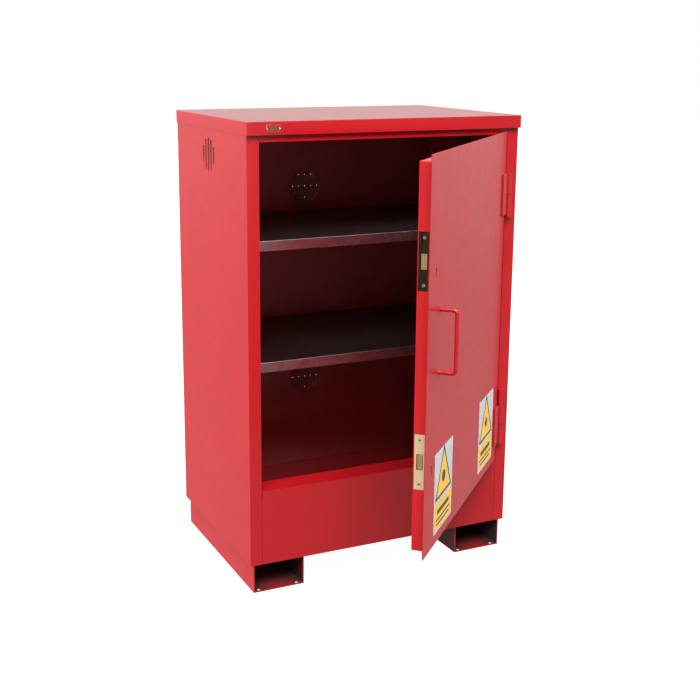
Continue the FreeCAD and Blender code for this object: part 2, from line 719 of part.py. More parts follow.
def make_handle():
    """A round bar bent to a square-cornered loop, with both feet on the skin."""
    body = doc.addObject("PartDesign::Body", "body")
    path = new_sketch(body, YZ, -s.handle_x)
    out = SKIN_FRONT - s.handle_reach
    top, low = s.handle_height + s.handle_half, s.handle_height - s.handle_half
    turn_x = out + s.handle_bend
    low_bend = add_arc(path, turn_x, low + s.handle_bend, s.handle_bend, math.pi, 1.5 * math.pi)
    top_bend = add_arc(path, turn_x, top - s.handle_bend, s.handle_bend, 0.5 * math.pi, math.pi)
    add_tangent_line(path, top_bend, 2, low_bend, 1)
    for bend, end, height in ((low_bend, 2, low), (top_bend, 1, top)):
        start = path.getPoint(bend, end)
        foot = Vector(SKIN_FRONT.value, height.value, 0)
        arm = path.addGeometry(Part.LineSegment(start, foot), False)
        path.addConstraint(Sketcher.Constraint("Tangent", bend, end, arm, 1))
        pin_point(path, arm, 2, SKIN_FRONT, height)
    ring = new_sketch(body, XZ, -SKIN_FRONT)
    add_circle(ring, -s.handle_x, low, s.handle_radius)
    doc.recompute()
    pipe = body.newObject("PartDesign::AdditivePipe", "bar")
    pipe.Profile = ring
    pipe.Spine = path
    node("pull_handle", body, on_door=True)


def make_labels():
    for name, left in (("outer_label_plate", -s.outer_label), ("inner_label_plate", -s.inner_label)):
        node(name, padded(XZ, rectangle(left, s.label_base, s.label_width, s.label_height),
                          SKIN_FRONT - s.label_gauge, s.label_gauge), on_door=True)


# ---------------------------------------------------------------- build and export

make_shell()
make_front_frame()
make_skids()
make_vent_gauze()
make_nameplate()
make_uprights()
make_shelves()
make_hinges()
make_door_shell()
make_locks()
make_handle()
make_labels()
doc.recompute()

for thing in doc.Objects:
    if "Invalid" in thing.State or "Error" in thing.State:
        raise RuntimeError("%s failed: %s" % (thing.Label, thing.State))
for thing in nodes:
    if thing.Shape.isNull() or not thing.Shape.isValid() or not thing.Shape.Solids:
        raise RuntimeError("%s has no valid solid" % thing.Label)

os.makedirs("parts", exist_ok=True)
for thing in nodes:
    thing.Shape.exportStep("parts/%s.step" % thing.Label)
print("%d sub-parts written" % len(nodes))
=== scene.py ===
import json
import math

import bmesh
import bpy
from mathutils import Matrix, Vector


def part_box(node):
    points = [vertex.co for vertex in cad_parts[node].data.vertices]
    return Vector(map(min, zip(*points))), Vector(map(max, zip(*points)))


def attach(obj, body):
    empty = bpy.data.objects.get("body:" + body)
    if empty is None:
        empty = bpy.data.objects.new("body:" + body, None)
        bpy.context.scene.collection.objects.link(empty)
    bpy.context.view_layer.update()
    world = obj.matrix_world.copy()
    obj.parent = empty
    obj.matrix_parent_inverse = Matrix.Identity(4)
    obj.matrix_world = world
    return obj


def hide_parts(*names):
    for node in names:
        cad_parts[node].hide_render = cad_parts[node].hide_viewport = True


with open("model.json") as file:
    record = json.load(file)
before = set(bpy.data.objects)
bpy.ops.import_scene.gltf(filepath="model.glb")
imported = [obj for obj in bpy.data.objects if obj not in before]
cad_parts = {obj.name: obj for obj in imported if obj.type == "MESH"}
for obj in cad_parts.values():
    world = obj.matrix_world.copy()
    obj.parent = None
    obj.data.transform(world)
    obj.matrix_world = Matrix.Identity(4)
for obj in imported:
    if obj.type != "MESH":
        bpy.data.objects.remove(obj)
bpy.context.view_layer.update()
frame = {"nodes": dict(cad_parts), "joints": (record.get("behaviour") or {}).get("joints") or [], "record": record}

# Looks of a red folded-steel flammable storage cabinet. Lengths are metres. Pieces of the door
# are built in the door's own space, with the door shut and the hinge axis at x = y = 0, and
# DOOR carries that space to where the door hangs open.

MM = 0.001
SWING = next(joint for joint in frame["joints"] if joint["name"] == "door_swing")
OPEN_ANGLE = -math.radians(SWING["range_deg"][0])
HINGE_X, HINGE_Y, _ = SWING["pos_m"]
DOOR = Matrix.Translation((HINGE_X, HINGE_Y, 0)) @ Matrix.Rotation(OPEN_ANGLE, 4, "Z")
HERE = Matrix.Identity(4)
X, Y, Z = Vector((1, 0, 0)), Vector((0, 1, 0)), Vector((0, 0, 1))


def door_box(name):
    """The lowest and highest corner of a door node in the door's own space."""
    turn = DOOR.inverted()
    spots = [turn @ vertex.co for vertex in frame["nodes"][name].data.vertices]
    return (Vector([min(p[i] for p in spots) for i in range(3)]),
            Vector([max(p[i] for p in spots) for i in range(3)]))


# ---------------------------------------------------------------- materials

class Finish:
    """A Principled material put together with short calls. Patterns follow object space."""

    def __init__(self, name, roughness, metallic=0.0):
        self.material = bpy.data.materials.new(name)
        self.material.use_nodes = True
        self.nodes = self.material.node_tree.nodes
        self.links = self.material.node_tree.links
        self.shader = self.nodes["Principled BSDF"]
        self.shader.inputs["Roughness"].default_value = roughness
        self.shader.inputs["Metallic"].default_value = metallic
        self.space = self.nodes.new("ShaderNodeTexCoord").outputs["Object"]

    def join(self, output, socket):
        self.links.new(output, self.shader.inputs[socket])

    def stretched(self, scale):
        mapping = self.nodes.new("ShaderNodeMapping")
        mapping.inputs["Scale"].default_value = scale
        self.links.new(self.space, mapping.inputs["Vector"])
        return mapping.outputs["Vector"]

    def noise(self, scale, detail, stretch=None):
        node = self.nodes.new("ShaderNodeTexNoise")
        node.inputs["Scale"].default_value = scale
        node.inputs["Detail"].default_value = detail
        where = self.stretched(stretch) if stretch else self.space
        self.links.new(where, node.inputs["Vector"])
        return node.outputs["Fac"]

    def cells(self, scale):
        node = self.nodes.new("ShaderNodeTexVoronoi")
        node.inputs["Scale"].default_value = scale
        self.links.new(self.space, node.inputs["Vector"])
        return node.outputs["Color"]

    def spread(self, value, low, high, start=0.3, end=0.7):
        """Takes start..end of a pattern to low..high."""
        node = self.nodes.new("ShaderNodeMapRange")
        for socket, number in (("From Min", start), ("From Max", end), ("To Min", low),
                               ("To Max", high)):
            node.inputs[socket].default_value = number
        self.links.new(value, node.inputs["Value"])
        return node.outputs["Result"]

    def tint(self, value, low, high, start=0.3, end=0.7):
        """Takes start..end of a pattern from one colour to another."""
        node = self.nodes.new("ShaderNodeValToRGB")
        ramp = node.color_ramp.elements
        ramp[0].position, ramp[1].position = start, end
        ramp[0].color, ramp[1].color = (*low, 1), (*high, 1)
        self.links.new(value, node.inputs["Fac"])
        return node.outputs["Color"]

    def facing(self, toward):
        """How squarely the surface looks toward a direction, 0..1."""
        turn = self.nodes.new("ShaderNodeVectorMath")
        turn.operation = "DOT_PRODUCT"
        turn.inputs[1].default_value = toward
        self.links.new(self.nodes.new("ShaderNodeNewGeometry").outputs["Normal"], turn.inputs[0])
        return self.spread(turn.outputs["Value"], 0.0, 1.0, 0.6, 1.0)

    def hollow(self, reach, own):
        """How closed in the surface is within reach, by any piece or only by its own, 0..1."""
        node = self.nodes.new("ShaderNodeAmbientOcclusion")
        node.only_local = own
        node.samples = 8
        node.inputs["Distance"].default_value = reach
        return self.spread(node.outputs["AO"], 1.0, 0.0, 0.6, 1.0)

    def times_plus(self, value, factor, more=0.0):
        """value * factor + more, each a number or another value."""
        node = self.nodes.new("ShaderNodeMath")
        node.operation = "MULTIPLY_ADD"
        for socket, wanted in zip(node.inputs, (value, factor, more)):
            if isinstance(wanted, float):
                socket.default_value = wanted
            else:
                self.links.new(wanted, socket)
        return node.outputs["Value"]

    def film(self, colour, share, amount, low, high):
        """Lays uneven painted shade, low..high in colour, over another colour."""
        uneven = self.spread(self.noise(6, 5), 0.92 * amount, 1.08 * amount)
        mix = self.nodes.new("ShaderNodeMix")
        mix.data_type = "RGBA"
        self.links.new(self.times_plus(share, uneven), mix.inputs["Factor"])
        self.links.new(colour, mix.inputs["A"])
        self.links.new(self.tint(self.noise(70, 4), low, high), mix.inputs["B"])
        return mix.outputs["Result"]

    def weave(self, pitch):
        """The height of crossed wires, from waves along X + Y and along Z."""
        mapped = []
        for direction in ((1, 1, 0), (0, 0, 1)):
            wave = self.nodes.new("ShaderNodeTexWave")
            wave.wave_profile = "SIN"
            wave.bands_direction = "Z"
            wave.inputs["Scale"].default_value = 1 / (20 * pitch)
            turn = self.nodes.new("ShaderNodeVectorMath")
            turn.operation = "DOT_PRODUCT"
            turn.inputs[1].default_value = direction
            self.links.new(self.space, turn.inputs[0])
            spot = self.nodes.new("ShaderNodeCombineXYZ")
            self.links.new(turn.outputs["Value"], spot.inputs["Z"])
            self.links.new(spot.outputs["Vector"], wave.inputs["Vector"])
            mapped.append(wave.outputs["Fac"])
        both = self.nodes.new("ShaderNodeMath")
        both.operation = "MAXIMUM"
        for i, height in enumerate(mapped):
            self.links.new(height, both.inputs[i])
        return both.outputs["Value"]

    def bumps(self, *layers):
        """Adds (pattern, strength, depth) layers of relief, the last one on top."""
        below = None
        for pattern, strength, depth in layers:
            node = self.nodes.new("ShaderNodeBump")
            node.inputs["Strength"].default_value = strength
            node.inputs["Distance"].default_value = depth
            self.links.new(pattern, node.inputs["Height"])
            if below:
                self.links.new(below, node.inputs["Normal"])
            below = node.outputs["Normal"]
        self.join(below, "Normal")


# Grey-brown for painted shade on the lid's upward faces, which makes the top darker and greyer.
LID_TOP_SHADE = (0.085, 0.068, 0.065), (0.115, 0.095, 0.090)
# Grey for painted shade on the inside faces of the back panel, rear uprights and pan, which darkens and greys
# them.
INNER_SHADE = (0.17, 0.165, 0.165), (0.21, 0.20, 0.20)
# Dark red for painted shade on the shelves' upward faces, with a painted reflection of the red inside.
SHELF_TOP_SHADE = (0.10, 0.03, 0.03), (0.14, 0.05, 0.05)
# Near-black red for painted shade: in the seams between parts, inside the skid channels and on the skids' sides
# under the cabinet.
PAINTED_SHADE_DARK = (0.020, 0.008, 0.008), (0.040, 0.014, 0.014)


def sides_toward(direction):
    """Where painted shade lies: on what looks toward a direction."""
    return lambda finish: finish.facing(direction)


def hollows_within(reach, own=False):
    """Where painted shade lies: on what is closed in within reach, by any piece or only by its own."""
    return lambda finish: finish.hollow(reach, own)


# Painted shade: any surface within 4 mm of another piece is darkened, in the seams and crevices between parts.
SEAM_SHADE = (hollows_within(4 * MM), 0.6, PAINTED_SHADE_DARK, 0.0)
# Painted shade: the inside of a skid's channel is darkened where the skid itself closes it in, within 200 mm.
CHANNEL_SHADE = (hollows_within(200 * MM, own=True), 1.0, PAINTED_SHADE_DARK, 0.3)


def powder_coat(name, waviness, *painted_shades):
    """Semi-gloss red powder coat: orange peel, faint mottling, and waves on wide sheets.

    Each painted shade on it is a tuple: where it lies, its amount, its two colours and how much
    rougher than the coat it is.
    """
    coat = Finish(name, 0.3)
    red = coat.tint(coat.noise(9, 3), (0.415, 0.0062, 0.0100), (0.437, 0.0074, 0.0118))
    rough = coat.spread(coat.noise(30, 4), 0.29, 0.34)
    for where, amount, colours, rougher in painted_shades:
        share = where(coat)
        red = coat.film(red, share, amount, *colours)
        rough = coat.times_plus(share, rougher, rough)
    coat.join(red, "Base Color")
    coat.join(rough, "Roughness")
    layers = [(coat.noise(420, 2), 0.08, 0.12 * MM), (coat.noise(130, 1), 0.03, 0.25 * MM)]
    if waviness:
        layers.insert(0, (coat.noise(2.0, 0, stretch=(1, 1, 0.4)), waviness, 10 * MM))
    coat.bumps(*layers)
    return coat.material


def galvanised_sheet():
    """Zinc-coated sheet with a small spangle, and painted shade with a painted red reflection on its upward faces.
    """
    sheet = Finish("galvanised_sheet", 0.4, metallic=1.0)
    spangle = sheet.cells(95)
    zinc = sheet.tint(spangle, (0.26, 0.26, 0.27), (0.33, 0.33, 0.34), 0.1, 0.9)
    sheet.join(sheet.film(zinc, sheet.facing(Z), 0.6, *SHELF_TOP_SHADE), "Base Color")
    sheet.join(sheet.spread(spangle, 0.30, 0.38, 0.0, 1.0), "Roughness")
    sheet.bumps((sheet.noise(300, 3), 0.10, 0.2 * MM))
    return sheet.material


def brushed_metal(name, low, high, roughness, metallic=1.0):
    """Metal with a fine grain along Z."""
    metal = Finish(name, roughness, metallic)
    lines = metal.noise(8, 3, stretch=(32.5, 32.5, 1.125))
    metal.join(metal.tint(lines, low, high), "Base Color")
    metal.join(metal.spread(lines, roughness - 0.06, roughness + 0.08), "Roughness")
    metal.bumps((lines, 0.12, 0.08 * MM))
    return metal.material


def cast_metal(name, low, high, roughness):
    """Metal with an even, slightly cloudy surface."""
    metal = Finish(name, roughness, metallic=1.0)
    cloud = metal.noise(160, 4)
    metal.join(metal.tint(cloud, low, high), "Base Color")
    metal.join(metal.spread(cloud, roughness - 0.05, roughness + 0.08), "Roughness")
    metal.bumps((metal.noise(900, 2), 0.08, 0.05 * MM))
    return metal.material


def wire_gauze():
    """Fine plain-woven stainless wire: two crossed sets of ridges."""
    gauze = Finish("stainless_gauze", 0.42, metallic=0.4)
    height = gauze.weave(1.1 * MM)
    # The dark red-brown, darkest where the wires dip under each other, is painted shade with a painted red
    # reflection of the cabinet round the gauze.
    gauze.join(gauze.tint(height, (0.05, 0.022, 0.022), (0.26, 0.12, 0.115), 0.15, 0.75),
               "Base Color")
    gauze.join(gauze.spread(gauze.noise(90, 3), 0.36, 0.50), "Roughness")
    gauze.bumps((height, 0.8, 0.4 * MM))
    return gauze.material


def printed_vinyl(name, low, high):
    """Flat printed plastic film with a faint mottle."""
    film = Finish(name, 0.36)
    film.join(film.tint(film.noise(90, 3), low, high), "Base Color")
    film.join(film.spread(film.noise(55, 4), 0.30, 0.42), "Roughness")
    film.bumps((film.noise(700, 2), 0.05, 0.05 * MM))
    return film.material


def pale_floor():
    """A near-white studio floor that glows a little, so that it stays even out to the horizon."""
    floor = Finish("pale_floor", 0.7)
    floor.join(floor.tint(floor.noise(3, 2), (0.18, 0.18, 0.18), (0.20, 0.20, 0.20)), "Base Color")
    floor.shader.inputs["Emission Color"].default_value = (1, 1, 1, 1)
    floor.shader.inputs["Emission Strength"].default_value = 0.96
    return floor.material


RED_PANEL = powder_coat("red_powder_coat_panel", 0.10)
# The door gets painted shade in its seams.
RED_DOOR = powder_coat("red_powder_coat_door", 0.10, SEAM_SHADE)
# The lid's upward faces get painted shade: a grey-brown layer that makes the top darker and greyer.
RED_LID = powder_coat("red_powder_coat_lid", 0.10, (sides_toward(Z), 0.6, LID_TOP_SHADE, 0.0))
# Painted shade: the faces of the back panel, rear uprights and pan that look toward the door are darkened and
# greyed.
RED_BACK = powder_coat("red_powder_coat_back", 0.10, (sides_toward(-Y), 0.42, INNER_SHADE, 0.0))
RED_PAN = powder_coat("red_powder_coat_pan", 0.0, (sides_toward(-Y), 0.18, INNER_SHADE, 0.0))
# Each skid gets painted shadow on its faces that look toward the cabinet's middle, under the cabinet, and painted
# shade inside its channel.
RED_LEFT_SKID = powder_coat("red_powder_coat_left_skid", 0.0,
                            (sides_toward(X), 0.7, PAINTED_SHADE_DARK, 0.3), CHANNEL_SHADE)
RED_RIGHT_SKID = powder_coat("red_powder_coat_right_skid", 0.0,
                             (sides_toward(-X), 0.7, PAINTED_SHADE_DARK, 0.3), CHANNEL_SHADE)
# The small red parts get painted shade in their seams.
RED_SMALL = powder_coat("red_powder_coat", 0.0, SEAM_SHADE)
GALVANISED = galvanised_sheet()
GAUZE = wire_gauze()
PLATE_ALLOY = brushed_metal("satin_copper", (0.46, 0.15, 0.12), (0.58, 0.21, 0.17), 0.34)
BRIGHT_STEEL = cast_metal("bright_zinc_steel", (0.66, 0.66, 0.66), (0.80, 0.80, 0.79), 0.26)
LOCK_STEEL = cast_metal("pressed_steel", (0.34, 0.34, 0.35), (0.44, 0.44, 0.45), 0.38)
# Near-black steel for painted shade: behind the keyholes, on the hinge washers and in the screw recesses.
SHADE_BLACK_STEEL = cast_metal("black_steel_painted_shade", (0.012, 0.011, 0.011), (0.030, 0.028, 0.027), 0.42)
BRASS = brushed_metal("satin_brass", (0.82, 0.63, 0.33), (0.92, 0.73, 0.42), 0.36, metallic=0.72)
BOLT_BRASS = brushed_metal("bolt_brass", (0.62, 0.40, 0.17), (0.74, 0.50, 0.24), 0.32)
BRONZE = brushed_metal("dark_bronze", (0.035, 0.026, 0.014), (0.070, 0.052, 0.028), 0.34)
ENAMEL = printed_vinyl("plate_enamel", (0.21, 0.030, 0.025), (0.27, 0.045, 0.036))
PRINT_WHITE = printed_vinyl("label_white", (0.50, 0.51, 0.53), (0.56, 0.57, 0.59))
PRINT_YELLOW = printed_vinyl("label_yellow", (0.80, 0.46, 0.03), (0.87, 0.53, 0.05))
PRINT_DARK = printed_vinyl("label_dark", (0.018, 0.017, 0.016), (0.032, 0.030, 0.028))

# What each of the record's material slots is made of, and its edge radius on the CAD nodes.
FINISHES = {
    "red_paint": RED_SMALL, "galvanised": GALVANISED, "gauze": GAUZE,
    "plate_alloy": PLATE_ALLOY, "bright_steel": BRIGHT_STEEL, "lock_steel": LOCK_STEEL,
    "brass": BRASS, "bronze": BRONZE, "label": PRINT_WHITE,
}
EDGE_RADIUS = {
    "red_paint": 0.7 * MM, "galvanised": 0.5 * MM, "plate_alloy": 0.2 * MM,
    "lock_steel": 0.3 * MM, "brass": 0.3 * MM, "bronze": 0.3 * MM,
}
# CAD nodes whose finish differs from that of their slot.
SPECIAL = {
    "left_side_panel": RED_PANEL, "right_side_panel": RED_PANEL, "sump_fascia": RED_PANEL,
    "door_skin": RED_DOOR, "door_tray": RED_DOOR, "roof_lid": RED_LID, "back_panel": RED_BACK,
    "left_rear_upright": RED_BACK, "right_rear_upright": RED_BACK, "sump_pan": RED_PAN,
    "left_skid": RED_LEFT_SKID, "right_skid": RED_RIGHT_SKID,
}
# The deadbolts are brass. The lock caps, cases and curtains behind the keyholes and the hinge washers are
# near-black, painted shade, so the keyholes and the hinge gap read dark.
for level in ("upper", "lower"):
    SPECIAL[level + "_deadbolt"] = BOLT_BRASS
    for part in ("_lock_cap", "_lock_case", "_lock_curtain", "_hinge_washer"):
        SPECIAL[level + part] = SHADE_BLACK_STEEL


# ---------------------------------------------------------------- CAD nodes

def soften(node, width):
    """Gives the folded and cut edges of a CAD node their small radius."""
    weld = node.modifiers.new("weld", "WELD")
    weld.merge_threshold = 0.005 * MM
    flat = node.modifiers.new("flat", "DECIMATE")
    flat.decimate_type = "DISSOLVE"
    flat.angle_limit = math.radians(0.4)
    bevel = node.modifiers.new("bevel", "BEVEL")
    bevel.limit_method = "ANGLE"
    bevel.angle_limit = math.radians(40)
    bevel.width = width
    bevel.segments = 2
    node.modifiers.new("shade", "WEIGHTED_NORMAL")


def finish_cad_nodes():
    """Gives every CAD node its material and its edge radius."""
    slots = {part["node"]: part["material_slot"] for part in frame["record"]["subparts"]}
    for name, node in frame["nodes"].items():
        material = SPECIAL.get(name, FINISHES[slots[name]])
        if not node.material_slots:
            node.data.materials.append(material)
        for slot in node.material_slots:
            slot.material = material
        if slots[name] in EDGE_RADIUS:
            soften(node, EDGE_RADIUS[slots[name]])


# ---------------------------------------------------------------- mesh helpers

def add_piece(name, body, build, materials, space=HERE, replaced=()):
    """Makes a mesh piece with build(bm), moves it by space and lets it ride on a body."""
    bm = bmesh.new()
    build(bm)
    bmesh.ops.recalc_face_normals(bm, faces=bm.faces)
    bm.transform(space)
    mesh = bpy.data.meshes.new(name)
    bm.to_mesh(mesh)
    bm.free()
    for material in materials:
        mesh.materials.append(material)
    piece = bpy.data.objects.new(name, mesh)
    bpy.context.scene.collection.objects.link(piece)
    mesh.shade_smooth()
    mesh.set_sharp_from_angle(angle=math.radians(35))
    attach(piece, body)
    if replaced:
        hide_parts(*replaced)


def loft(bm, rings, material=0, caps=(True, True)):
    """Joins closed rings of equal length with quads, and caps the first and last."""
    rows = [[bm.verts.new(p) for p in ring] for ring in rings]
    faces = []
    for low, high in zip(rows, rows[1:]):
        for i in range(len(low)):
            k = (i + 1) % len(low)
            faces.append(bm.faces.new((low[i], low[k], high[k], high[i])))
    for row, wanted in zip((rows[0], rows[-1]), caps):
        if wanted:
            faces.append(bm.faces.new(row))
    for face in faces:
        face.material_index = material


def fill(bm, rings):
    """Fills the first of some closed rings and leaves the others open as holes."""
    edges = []
    for ring in rings:
        row = [bm.verts.new(p) for p in ring]
        edges += [bm.edges.new((row[i - 1], row[i])) for i in range(len(row))]
    bmesh.ops.triangle_fill(bm, edges=edges, use_beauty=True)


def join_doubles(bm):
    """Joins vertices that lie on each other, where a fill or a wall meets its neighbour."""
    bmesh.ops.remove_doubles(bm, verts=bm.verts, dist=0.001 * MM)


def rounded(corners, radius):
    """A closed flat outline whose corners are arcs of one radius."""
    steps = 6
    outline = []
    for i, corner in enumerate(corners):
        before = (corners[i - 1] - corner).normalized()
        after = (corners[(i + 1) % len(corners)] - corner).normalized()
        half = before.angle(after) / 2
        centre = corner + (before + after).normalized() * (radius / math.sin(half))
        start = corner + before * (radius / math.tan(half)) - centre
        side = -math.copysign(1, before.x * after.y - before.y * after.x)
        for k in range(steps + 1):
            turn = Matrix.Rotation(side * (math.pi - 2 * half) * k / steps, 2)
            outline.append(centre + turn @ start)
    return outline


def rectangle(width, height, radius, inset=0.0):
    """A rounded rectangle about the middle, drawn in by inset."""
    u, v = width / 2 - inset, height / 2 - inset
    corners = [Vector((-u, -v)), Vector((u, -v)), Vector((u, v)), Vector((-u, v))]
    return rounded(corners, max(radius - inset, 0.1 * MM))


def circle(radius, count=24):
    steps = [2 * math.pi * k / count for k in range(count)]
    return [Vector((radius * math.cos(a), radius * math.sin(a))) for a in steps]


class Face:
    """A flat place on a surface, for outlines drawn with x to its right and y up."""

    def __init__(self, origin, right, up):
        self.origin, self.right, self.up = origin, right, up
        self.out = right.cross(up)

    def ring(self, outline, out, lift=0.0):
        """The outline in space, out in front of the place and lifted along its up."""
        return [self.origin + self.right * p.x + self.up * (p.y + lift) + self.out * out
                for p in outline]


def prism(bm, face, outline, low, high, material=0, lift=0.0):
    """A flat shape raised from low to high in front of a face."""
    rings = [face.ring(outline, low, lift), face.ring(outline, high, lift)]
    loft(bm, rings, material, caps=(False, True))


def bead(bm, start, end, out, radius, ripple):
    """A weld bead from start to end: overlapping ripples, thin at both ends."""
    along = end - start
    side = along.cross(out).normalized()
    per_ripple, sides = 4, 10
    count = max(8, round(along.length / ripple) * per_ripple)
    rings = []
    for k in range(count + 1):
        share = k / count
        wave = abs(math.sin(math.pi * share * count / per_ripple + 0.4))
        drift = 1 + 0.10 * math.sin(share * 23.0) + 0.06 * math.sin(share * 61.0)
        taper = min(1.0, 0.35 + 5 * min(share, 1 - share))
        size = radius * (0.74 + 0.26 * wave) * drift * taper
        middle = start + along * share
        rings.append([middle + (side * math.cos(a) + out * math.sin(a)) * size
                      for a in (2 * math.pi * j / sides for j in range(sides))])
    loft(bm, rings)


def ring_bead(bm, centre, axis, radius, thick, ripples):
    """A weld bead that runs round a bar where it meets a plate."""
    side = axis.orthogonal().normalized()
    other = axis.cross(side)
    per_ripple, sides = 4, 8
    count = ripples * per_ripple
    rows = []
    for k in range(count):
        a = 2 * math.pi * k / count
        out = side * math.cos(a) + other * math.sin(a)
        size = thick * (0.78 + 0.22 * abs(math.sin(a * ripples / 2)))
        rows.append([bm.verts.new(centre + out * (radius + size * math.cos(b))
                                  + axis * (size * math.sin(b)))
                     for b in (2 * math.pi * j / sides for j in range(sides))])
    for k in range(count):
        low, high = rows[k], rows[(k + 1) % count]
        for i in range(sides):
            j = (i + 1) % sides
            bm.faces.new((low[i], low[j], high[j], high[i]))


# ---------------------------------------------------------------- vents

def perforated_disc(bm, face, radius, thickness):
    """A gauze pack with a rolled rim and rows of small holes behind the vent's slots."""
    rim, lip, hole = 3.5 * MM, 0.4 * MM, 0.85 * MM
    column, row, raised = 20 * MM, 35 * MM, 4 * MM
    places = ((0, -1), (0, 0), (-2, 0), (-1, 0), (1, 0), (2, 0), (-1, 1), (0, 1), (1, 1))
    holes = []
    for across, up in places:
        spot = Vector((across * column, up * row + raised))
        holes.append([spot + p for p in circle(hole, 10)])
    half = thickness / 2
    web = half * 0.6
    for w in (-web, web):
        fill(bm, [face.ring(outline, w) for outline in [circle(radius - rim, 64)] + holes])
    for outline in holes:
        loft(bm, [face.ring(outline, w) for w in (-web, web)], caps=(False, False))
    profile = [(radius - rim, -web), (radius - rim * 0.8, -half), (radius - lip, -half),
               (radius, -web), (radius, web), (radius - lip, half), (radius - rim * 0.8, half),
               (radius - rim, web)]
    loft(bm, [face.ring(circle(r, 64), w) for r, w in profile], caps=(False, False))
    join_doubles(bm)


def make_gauzes():
    """A perforated pack in place of each vent's plain gauze."""
    for name, right in (("left_vent_gauze", -Y), ("right_vent_gauze", Y),
                        ("upper_back_gauze", -X), ("lower_back_gauze", -X)):
        low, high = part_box(name)
        face = Face((low + high) / 2, right, Z)
        size = high - low
        radius, thickness = size.z / 2, min(size.x, size.y)
        add_piece(name + "_pack", "cabinet",
                  lambda bm: perforated_disc(bm, face, radius, thickness), [GAUZE],
                  replaced=[name])


# ---------------------------------------------------------------- nameplate

def domed_head(bm, face, radius, height):
    """A low dome, such as a rivet's, whose last ring stops just short of the pole."""
    steps, reach = 6, 0.94
    angles = [math.pi / 2 * k / steps * reach for k in range(steps + 1)]
    loft(bm, [face.ring(circle(radius * math.cos(a)), height * math.sin(a)) for a in angles])


def make_nameplate():
    """A plate with a raised rim and three plain bars on a sunk enamelled field."""
    low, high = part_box("nameplate")
    size = high - low
    face = Face(Vector(((low.x + high.x) / 2, high.y, (low.z + high.z) / 2)), X, Z)
    corner, rim, edge = 6 * MM, 1.4 * MM, 0.3 * MM
    field, bar_top = size.y * 0.6, size.y * 0.85

    def plate(bm):
        levels = ((0, 0), (0, size.y * 0.8), (edge, size.y), (rim - edge, size.y), (rim, field))
        rings = [face.ring(rectangle(size.x, size.z, corner, inset), out)
                 for inset, out in levels]
        loft(bm, rings, caps=(True, False))
        bm.faces.new([bm.verts.new(p) for p in rings[-1]]).material_index = 1
        for height, width in ((2.6 * MM, 17 * MM), (-0.4 * MM, 21 * MM), (-3.6 * MM, 13 * MM)):
            prism(bm, face, rectangle(width, 1.5 * MM, 0.5 * MM), field, bar_top, lift=height)

    add_piece("nameplate_embossed", "cabinet", plate, [PLATE_ALLOY, ENAMEL],
              replaced=["nameplate"])

    rivet_low, rivet_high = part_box("nameplate_rivets")
    radius = (rivet_high.z - rivet_low.z) / 2
    height = rivet_high.y - rivet_low.y

    def rivets(bm):
        for x in (rivet_low.x + radius, rivet_high.x - radius):
            spot = Face(Vector((x, rivet_high.y, (rivet_low.z + rivet_high.z) / 2)), X, Z)
            domed_head(bm, spot, radius, height)

    add_piece("nameplate_rivet_heads", "cabinet", rivets, [BRIGHT_STEEL],
              replaced=["nameplate_rivets"])


# ---------------------------------------------------------------- welds

def upright_bead(bm, x, y, low, high, out, radius, ripple):
    """A bead up a side, from just over low to just under high."""
    gap = 2 * MM
    bead(bm, Vector((x, y, low + gap)), Vector((x, y, high - gap)), out.normalized(), radius, ripple)


def make_frame_welds():
    """Beads down both sides of the hinge sockets and of the block that stops a lift-off."""
    half_widths = {"upper_hinge_socket": 5 * MM, "lower_hinge_socket": 5 * MM,
                   "hinge_lift_stop": 10 * MM}

    def beads(bm):
        for name, half in half_widths.items():
            low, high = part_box(name)
            for side in (-1, 1):
                upright_bead(bm, HINGE_X + side * half, high.y, low.z, high.z, -Y + X * side,
                             1.9 * MM, 3.4 * MM)

    add_piece("frame_weld_beads", "cabinet", beads, [RED_SMALL])


def make_door_welds():
    """Beads round the hinge leaves, beside their barrels and at the feet of the handle."""
    leaf_start, leaf_end = 3 * MM, -19 * MM
    barrel_left, barrel_out = -7.6 * MM, 5 * MM
    over_socket = 2 * MM
    skin_front = door_box("door_skin")[0].y

    def beads(bm):
        for name in ("upper_hinge_leaf", "lower_hinge_leaf"):
            low, high = door_box(name)
            socket_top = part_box(name.replace("leaf", "socket"))[1].z
            upright_bead(bm, low.x, skin_front, low.z, high.z, -Y - X, 2.2 * MM, 3.8 * MM)
            for z in (low.z, high.z):
                bead(bm, Vector((low.x + leaf_start, skin_front, z)),
                     Vector((leaf_end, skin_front, z)), -Y, 1.9 * MM, 3.6 * MM)
            upright_bead(bm, barrel_left, skin_front - barrel_out, socket_top + over_socket,
                         high.z, -Y - X, 2.0 * MM, 4.2 * MM)
        handle_low, handle_high = door_box("pull_handle")
        radius = (handle_high.x - handle_low.x) / 2
        x = (handle_low.x + handle_high.x) / 2
        for z in (handle_low.z + radius, handle_high.z - radius):
            ring_bead(bm, Vector((x, skin_front, z)), Y, radius, 1.7 * MM, 14)

    add_piece("door_weld_beads", "door", beads, [RED_SMALL], space=DOOR)


# ---------------------------------------------------------------- locks

def cross_outline(arm, width):
    """A plus sign with arms of the given half length and half width."""
    corner = [Vector((arm, width)), Vector((width, width)), Vector((width, arm))]
    outline = []
    for quarter in range(4):
        turn = Matrix.Rotation(quarter * math.pi / 2, 2)
        outline += [turn @ p for p in corner]
    return outline


